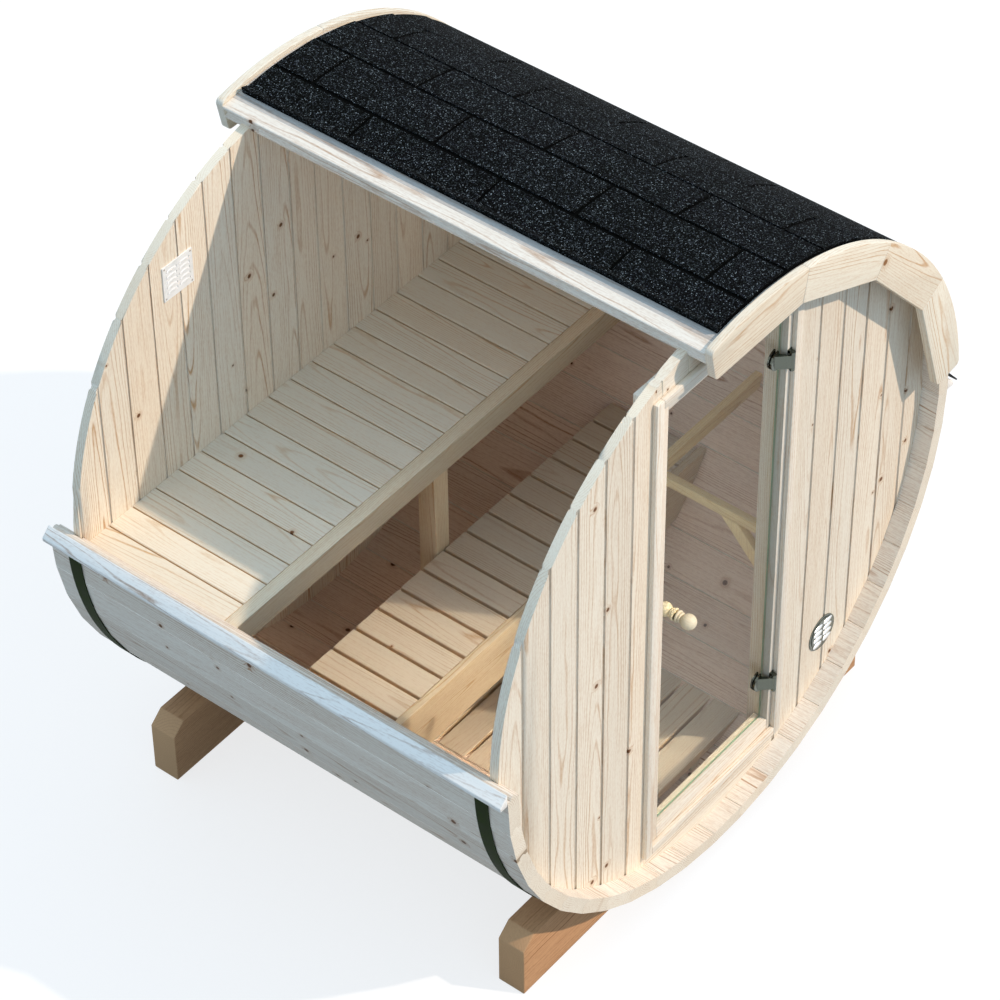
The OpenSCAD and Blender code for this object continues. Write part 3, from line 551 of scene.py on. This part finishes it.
# The first and the last course have short tabs
last = put(tree, "ShaderNodeMath", given["Courses"], 1.0, operation="SUBTRACT")
from_end = put(tree, "ShaderNodeMath", row, last, operation="SUBTRACT")
inner_row = put(tree, "ShaderNodeMath", row, from_end, operation="MULTIPLY")
full = put(tree, "FunctionNodeCompare", inner_row, -0.5, data_type="FLOAT", operation="LESS_THAN")
cropped = put(tree, "FunctionNodeBooleanMath", full, operation="NOT")
joined = put(tree, "GeometryNodeJoinGeometry")
for tab, wanted in (("Tab", full), ("Short tab", cropped)):
    chosen = put(tree, "FunctionNodeBooleanMath", real, wanted, operation="AND")
    shape = put(tree, "GeometryNodeObjectInfo", given[tab]).outputs["Geometry"]
    laid = put(tree, "GeometryNodeInstanceOnPoints", placed, Selection=chosen, Instance=shape,
               Rotation=spin, Scale=stretch)
    tree.links.new(laid.outputs[0], joined.inputs[0])
tone = put(tree, "FunctionNodeRandomValue", data_type="FLOAT", Seed=given["Seed"])
toned = put(tree, "GeometryNodeStoreNamedAttribute", joined, domain="INSTANCE", data_type="FLOAT",
            Name="tab_tone")
tone_value = next(s for s in toned.inputs if s.enabled and s.name == "Value")
tree.links.new(next(o for o in tone.outputs if o.enabled), tone_value)
solid = put(tree, "GeometryNodeRealizeInstances", toned)
put(tree, "NodeGroupOutput", put(tree, "GeometryNodeSetMaterial", solid, Material=given["Finish"]))
tabs = grown("shingle_tabs", tree, keys, {
    "Tab": bent_strip(course * tab_share, tab_back_r, tab_r, butt_r, 8),
    "Short tab": bent_strip(-roof_start * short_share, tab_back_r, tab_r, butt_r, 6),
    "Courses": 10, "Seed": 7, "Course angle": course, "Tab width": 0.435, "Odd tab width": 0.418,
    "Odd middle": 0.236, "Half length": roof_half, "Joint": 0.012, "Axis height": axis_height,
    "Finish": slate})
show("shingle_tabs", tabs, slate, "sauna", ["roof_shingles"])

underlay = bent_strip(roof_end - roof_start, deck_r, underlay_r, underlay_r, 48).data
edging = bent_strip(edging_arc, edging_back_r, edging_top_r, edging_low_r, 4).data
for sheet in (underlay, edging):
    sheet.transform(Matrix.Translation((0, 0, axis_height)) @ Matrix.Rotation(roof_start, 4, "Y")
                    @ Matrix.Diagonal((1, 2 * roof_half, 1, 1)))
felt = painted("bitumen_rolled_underlay", "#030404", "#08090a", rough=0.9, dust_mm=12, shine=0.03)
show("shingle_underlay", underlay, felt, "sauna")
show("shingle_edging", edging, slate, "sauna")

# Drip edge
# Folded strip of steel with a dull black coat, which leads the rain from under the last course over
# the right batten.
drip_coat = painted("steel_folded_coated", "#060708", "#0d0f10", rough=0.6, dust_mm=60, shine=0.1)
dress(["eave_drip"], drip_coat)

# Bench, step, floor and guard rails
# Spruce slats with eased edges on cross boards, and three rails that keep the front right corner free.
# The wood is warmer where it is sat on, walked on and heated.
spruce_bench = softwood("spruce_planed_bench", "#eee5d2", "#cfac80", "#7a5030", "#efe6d6", knots=0.1,
                        plain=0.66)
spruce_trodden = softwood("spruce_planed_trodden", "#d6c7b2", "#b7916d", "#7a5030", "#e2d6c2", knots=0.05,
                          plain=0.66)
spruce_browned = softwood("spruce_planed_browned", "#d8c8ac", "#b78e60", "#7a5030", "#dccdb2", knots=0.0)
spruce_rail = softwood("spruce_planed_yellowed", "#f0d8a8", "#c99e66", "#7a5030", "#f0d8a8", knots=0.0)
round_over = 0.003


def slat_sides_and_highlight(spot, normal):
    """The sides of the slats are browner, and their eased edges are painted paler as a highlight."""
    if normal.z > 0.9:
        return 1, 1, 1
    # Eased edges: painted highlight; sides: browner
    return (1.06, 1.05, 1.03) if normal.z > 0.3 else (1.0, 0.86, 0.70)


def apron_face_tones(spot, normal):
    """The apron's top is drawn paler and bluer than its other faces, which are drawn darker."""
    return (1.18, 1.24, 1.32) if normal.z > 0.7 else (0.76, 0.80, 0.86)


boards("bench_slats", spruce_bench, stain=slat_sides_and_highlight)
for node in ("step_slats", "floor_slats"):
    boards(node, spruce_trodden, stain=slat_sides_and_highlight)
boards("bench_apron", spruce_browned, ease=round_over, stain=apron_face_tones)
for node in ("bench_ledger", "bench_leg", "step_front_board", "step_bearer", "floor_bearers"):
    boards(node, spruce_browned, ease=round_over)
for node in ("guard_cross_rail", "guard_side_rail", "guard_brace"):
    boards(node, spruce_rail, ease=round_over)

# Glass door
# One sheet of clear toughened glass, hung on two hinges. Its ground edges look green, because there
# the eye sees through the depth of the sheet.
pane = bmesh.new()
pane.from_mesh(nodes["door_glass"].data)
bmesh.ops.remove_doubles(pane, verts=pane.verts, dist=1e-5)
rim = pane.faces.layers.float.new("rim")
for f in pane.faces:
    f[rim] = float(abs(f.normal.y) < 0.5)
mesh = bpy.data.meshes.new("door_glass_pane")
pane.to_mesh(mesh)
pane.free()
glass, t = bare_material("glass_toughened_clear")
ground_edge = put(t, "ShaderNodeAttribute", attribute_name="rim").outputs["Fac"]
tint = put(t, "ShaderNodeMix", ground_edge, linear("#f5f8f6"), linear("#7fae9a"), data_type="RGBA")
frost = put(t, "ShaderNodeMath", ground_edge, 0.5, operation="MULTIPLY")
clear = put(t, "ShaderNodeBsdfPrincipled", Base_Color=tint, Roughness=frost, IOR=1.1)
clear.inputs["Transmission Weight"].default_value = 1.0
clear.inputs["Specular IOR Level"].default_value = 0.1
sunlit = put(t, "ShaderNodeBsdfTransparent", linear("#e8eae6"))
passing = put(t, "ShaderNodeLightPath").outputs["Is Shadow Ray"]
put(t, "ShaderNodeOutputMaterial", put(t, "ShaderNodeMixShader", passing, clear, sunlit))
show("door_glass_pane", mesh, glass, "door", ["door_glass"])

# Knob
# Turned birch, a ball on two rings on each side of the glass, sanded and oiled.
# The grain is close and pale, and the oil leaves a soft shine.
birch = softwood("birch_turned_oiled", "#f0e2c4", "#dcc294", "#8a5a32", "#f0e2c4", knots=0.0, rough=0.45)
boards("door_knob", birch, lay="Y")

# Hinges
# Cast zinc, polished and chromed: half-round plates clamp the glass and turn on a pin in the bracket.
# Chrome mirrors what is round it: the plates' colour is painted dark, a painted reflection of dark
# surroundings.


def bright_metal(name, colour, rough, scratch_mm):
    """Polished or brushed metal with marks that scatter its reflection, drawn wide enough to show."""
    mat, t = bare_material(name)
    place = put(t, "ShaderNodeTexCoord").outputs["Object"]
    lines = put(t, "ShaderNodeVectorMath", place, (0.15, 1.0, 1.0), operation="MULTIPLY")
    marks = put(t, "ShaderNodeTexNoise", Vector=lines, Scale=1000 / scratch_mm, Detail=3.0, Roughness=0.6)
    gloss = put(t, "ShaderNodeMath", marks, 0.2, rough - 0.1, operation="MULTIPLY_ADD")
    sheen = put(t, "ShaderNodeMath", marks, 0.3, 0.85, operation="MULTIPLY_ADD")
    hue = put(t, "ShaderNodeHueSaturation", Value=sheen, Color=linear(colour))
    bump = put(t, "ShaderNodeBump", Height=marks, Strength=0.1, Distance=0.0003)
    metal = put(t, "ShaderNodeBsdfPrincipled", Base_Color=hue, Roughness=gloss, Normal=bump)
    metal.inputs["Metallic"].default_value = 1.0
    put(t, "ShaderNodeOutputMaterial", metal)
    return mat


# Colour painted dark: painted reflection of dark surroundings
chrome = bright_metal("zinc_cast_chromed", "#666b63", rough=0.14, scratch_mm=3)
dress(["hinge_leaves", "hinge_brackets"], chrome)

# Vents
# A round vent of pressed stainless steel outside the front wall and a square one of moulded white plastic
# inside the back wall, held by four screws. Each has two columns of hooded louvres.
tree, keys = sized_tree("louvre_rows", {
    "Object": ["Shape"],
    "Int": ["Columns", "Rows"],
    "Float": ["Column pitch", "Row pitch"],
    "Vector": ["Middle"],
    "Material": ["Finish"]})
given = put(tree, "NodeGroupInput").outputs
spans = []
for number, pitch in (("Columns", "Column pitch"), ("Rows", "Row pitch")):
    gaps = put(tree, "ShaderNodeMath", given[number], 1.0, operation="SUBTRACT")
    spans.append(put(tree, "ShaderNodeMath", gaps, given[pitch], operation="MULTIPLY"))
grid = put(tree, "GeometryNodeMeshGrid", spans[0], spans[1], given["Columns"], given["Rows"])
shape = put(tree, "GeometryNodeObjectInfo", given["Shape"]).outputs["Geometry"]
lying = put(tree, "GeometryNodeInstanceOnPoints", grid, Instance=shape)
solid = put(tree, "GeometryNodeRealizeInstances", lying)
upright = put(tree, "GeometryNodeTransform", solid, Translation=given["Middle"],
              Rotation=(math.pi / 2, 0.0, 0.0))
put(tree, "NodeGroupOutput", put(tree, "GeometryNodeSetMaterial", upright, Material=given["Finish"]))


def hood(width, height, rise, around, up):
    """Half of a flattened ball, lying on a plate."""
    ball = bmesh.new()
    bmesh.ops.create_uvsphere(ball, u_segments=around, v_segments=2 * up, radius=0.5)
    ball.transform(Matrix.Diagonal((width, height, 2 * rise, 1)))
    everything = ball.verts[:] + ball.edges[:] + ball.faces[:]
    bmesh.ops.bisect_plane(ball, geom=everything, plane_co=(0, 0, 0), plane_no=(0, 0, -1),
                           clear_outer=True)
    bmesh.ops.holes_fill(ball, edges=[e for e in ball.edges if e.is_boundary], sides=0)
    bmesh.ops.recalc_face_normals(ball, faces=ball.faces)
    for f in ball.faces:
        f.smooth = len(f.verts) < 5
    mesh = bpy.data.meshes.new("hood")
    ball.to_mesh(mesh)
    ball.free()
    return bpy.data.objects.new("hood", mesh)


def rows_of(name, shape, node, finish, columns, rows, pitches):
    """Sets a shape in rows and columns on the outer face of a vent's plate, sunk in it by a hair."""
    sunk = 0.0002
    low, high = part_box(node)
    middle = ((low.x + high.x) / 2, low.y + sunk, (low.z + high.z) / 2)
    mesh = grown(name, tree, keys, {
        "Shape": shape, "Columns": columns, "Rows": rows, "Column pitch": pitches[0],
        "Row pitch": pitches[1], "Middle": middle, "Finish": finish})
    show(name, mesh, finish, "sauna")


stainless = bright_metal("steel_pressed_stainless", "#7c817b", rough=0.3, scratch_mm=4)
polished = bright_metal("steel_polished_louvre", "#f0f4f6", rough=0.25, scratch_mm=4)
plastic = painted("polystyrene_moulded_white", "#f6f6f4", "#e9e9e6", rough=0.45, dust_mm=20)
zinc_plate = bright_metal("steel_zinc_plated_screw", "#a9a9a4", rough=0.35, scratch_mm=1)
dress(["vent_front"], stainless)
dress(["vent_back"], plastic)
steel_hood = hood(width=0.042, height=0.0195, rise=0.003, around=14, up=3)
plastic_hood = hood(width=0.038, height=0.013, rise=0.0015, around=12, up=2)
screw_head = hood(width=0.007, height=0.007, rise=0.001, around=8, up=2)
rows_of("vent_front_louvres", steel_hood, "vent_front", polished, columns=2, rows=4,
        pitches=(0.046, 0.0225))
rows_of("vent_back_louvres", plastic_hood, "vent_back", plastic, columns=2, rows=5,
        pitches=(0.050, 0.0184))
rows_of("vent_back_screws", screw_head, "vent_back", zinc_plate, columns=2, rows=2,
        pitches=(0.103, 0.103))

# Stage
# Pale floor that stays white to the eye but throws little light back, a soft cool sky, a warm sun from
# the front right, and a camera that looks down into the open room.
reach, below = 60, -0.001
mesh = bpy.data.meshes.new("floor")
corners = [(x * reach, y * reach, below) for x, y in ((-1, -1), (1, -1), (1, 1), (-1, 1))]
mesh.from_pydata(corners, [], [(0, 1, 2, 3)])
ground = bpy.data.objects.new("floor", mesh)
scene.collection.objects.link(ground)


def seen_rays(t):
    """1 for rays that show the backdrop: the camera's own and those that metal and glass send on."""
    rays = put(t, "ShaderNodeLightPath").outputs
    sent_on = put(t, "ShaderNodeMath", rays["Is Glossy Ray"], rays["Is Transmission Ray"],
                  operation="MAXIMUM")
    return put(t, "ShaderNodeMath", rays["Is Camera Ray"], sent_on, operation="MAXIMUM")


pale, t = bare_material("floor_pale")
lit = put(t, "ShaderNodeBsdfDiffuse", (0.27, 0.27, 0.27, 1.0))
glow = put(t, "ShaderNodeEmission", (1.0, 1.0, 1.0, 1.0), 0.75)
shown = put(t, "ShaderNodeAddShader", lit, glow)
dull = put(t, "ShaderNodeBsdfDiffuse", (0.20, 0.20, 0.20, 1.0))
put(t, "ShaderNodeOutputMaterial", put(t, "ShaderNodeMixShader", seen_rays(t), dull, shown))
mesh.materials.append(pale)

world = bpy.data.worlds.new("sky")
scene.world = world
world.use_nodes = True
t = world.node_tree
t.nodes.clear()
soft = put(t, "ShaderNodeBackground", (0.60, 0.80, 1.0, 1.0), 0.97)
white = put(t, "ShaderNodeBackground", (1.0, 1.0, 1.0, 1.0), 1.0)
put(t, "ShaderNodeOutputWorld", put(t, "ShaderNodeMixShader", seen_rays(t), soft, white))

sun = bpy.data.lights.new("sun", "SUN")
sun.energy = 2.6
sun.angle = math.radians(1)
sun.color = (1.0, 0.835, 0.69)
sunbeam = Vector((-0.545, 1.0, -1.0))
lamp = bpy.data.objects.new("sun", sun)
lamp.rotation_mode = "QUATERNION"
lamp.rotation_quaternion = sunbeam.to_track_quat("-Z", "Y")
scene.collection.objects.link(lamp)

# Place and angles of the camera, worked out from the barrel's round front and its straight edges
stand = (-6.2453, -5.0385, 8.6423)
yaw, pitch, roll = (math.radians(a) for a in (50.965, 44.018, -0.648))
ahead = Vector((math.sin(yaw) * math.cos(pitch), math.cos(yaw) * math.cos(pitch), -math.sin(pitch)))
right = Vector((math.cos(yaw), -math.sin(yaw), 0))
above = right.cross(ahead)
rolled_right = math.cos(roll) * right + math.sin(roll) * above
rolled_up = -math.sin(roll) * right + math.cos(roll) * above
lens = bpy.data.cameras.new("camera")
lens.sensor_width = 36.0
lens.lens = 142.96
lens.clip_end = 200
eye = bpy.data.objects.new("camera", lens)
turn = Matrix((rolled_right, rolled_up, -ahead)).transposed().to_4x4()
eye.matrix_world = Matrix.Translation(stand) @ turn
scene.collection.objects.link(eye)
scene.camera = eye
